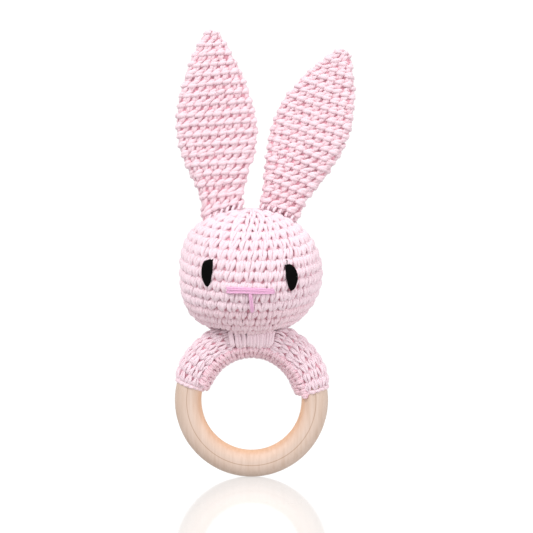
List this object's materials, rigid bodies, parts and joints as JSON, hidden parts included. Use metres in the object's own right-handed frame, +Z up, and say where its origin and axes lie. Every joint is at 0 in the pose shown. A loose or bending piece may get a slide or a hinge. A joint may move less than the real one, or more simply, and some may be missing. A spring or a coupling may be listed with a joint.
{
  "type": "teething ring rattle",
  "caption": "Baby's teething rattle: a bare wooden gripping ring with a crocheted sleeve on it, carrying a stuffed crochet rabbit head with long flat ears.",
  "frame": {"origin": "centre of the wooden ring, on the ring's own axis", "axes": "+Z up along the rabbit from the ring to the ears, the ring's axis along Y, the face looking towards -Y, so the rabbit's right ear is on the -X side"},
  "size_m": [0.0655, 0.0516, 0.1603],
  "materials": {
    "beech": "satin, oiled",
    "pink_yarn": "crocheted cotton yarn, matte",
    "sewing_yarn": "cotton sewing yarn, matte",
    "fibre_filling": "loose polyester fibre",
    "case_plastic": "smooth moulded",
    "bead_plastic": "smooth moulded",
    "black_thread": "satin stitched embroidery thread",
    "rose_thread": "embroidery thread"
  },
  "bodies": {
    "sleeve": {"ring_cover": "pink_yarn", "cover_seam_yarn": "sewing_yarn", "neck_stitches": "sewing_yarn"},
    "ring": {"wooden_ring": "beech"},
    "head": {"head_shell": "pink_yarn", "head_stuffing": "fibre_filling", "rattle_case_front": "case_plastic", "rattle_case_back": "case_plastic", "ear_left_stitches": "sewing_yarn", "ear_right_stitches": "sewing_yarn", "eye_left_thread": "black_thread", "eye_right_thread": "black_thread", "nose_thread": "rose_thread", "mouth_thread": "rose_thread"},
    "left_ear": {"ear_left": "pink_yarn"},
    "right_ear": {"ear_right": "pink_yarn"},
    "bead_1": {"rattle_bead_1": "bead_plastic"},
    "bead_2": {"rattle_bead_2": "bead_plastic"},
    "bead_3": {"rattle_bead_3": "bead_plastic"},
    "bead_4": {"rattle_bead_4": "bead_plastic"},
    "bead_5": {"rattle_bead_5": "bead_plastic"}
  },
  "joints": [
    {"name": "ring_turn", "type": "hinge", "parent": "sleeve", "child": "ring", "pos_m": [0, 0, 0], "axis": [0, 1, 0], "continuous": true},
    {"name": "head_nod", "type": "hinge", "parent": "sleeve", "child": "head", "pos_m": [0, 0, 0.0224], "axis": [1, 0, 0], "range_deg": [-15, 15], "stiffness_Nm_per_rad": 0.1},
    {"name": "left_ear_flop", "type": "hinge", "parent": "head", "child": "left_ear", "pos_m": [-0.0118, 0, 0.0702], "axis": [0.9135, 0, 0.4067], "range_deg": [-35, 35], "stiffness_Nm_per_rad": 0.02},
    {"name": "right_ear_flop", "type": "hinge", "parent": "head", "child": "right_ear", "pos_m": [0.0118, 0, 0.0702], "axis": [0.9135, 0, -0.4067], "range_deg": [-35, 35], "stiffness_Nm_per_rad": 0.02},
    {"name": "bead_1_rattle", "type": "slide", "parent": "head", "child": "bead_1", "axis": [0, 0, 1], "range_m": [0, 0.01004]},
    {"name": "bead_2_rattle", "type": "slide", "parent": "head", "child": "bead_2", "axis": [0, 0, 1], "range_m": [0, 0.0146]},
    {"name": "bead_3_rattle", "type": "slide", "parent": "head", "child": "bead_3", "axis": [0, 0, 1], "range_m": [0, 0.01004]},
    {"name": "bead_4_rattle", "type": "slide", "parent": "head", "child": "bead_4", "axis": [0, 0, 1], "range_m": [0, 0.01356]},
    {"name": "bead_5_rattle", "type": "slide", "parent": "head", "child": "bead_5", "axis": [0, 0, 1], "range_m": [0, 0.01356]}
  ]
}
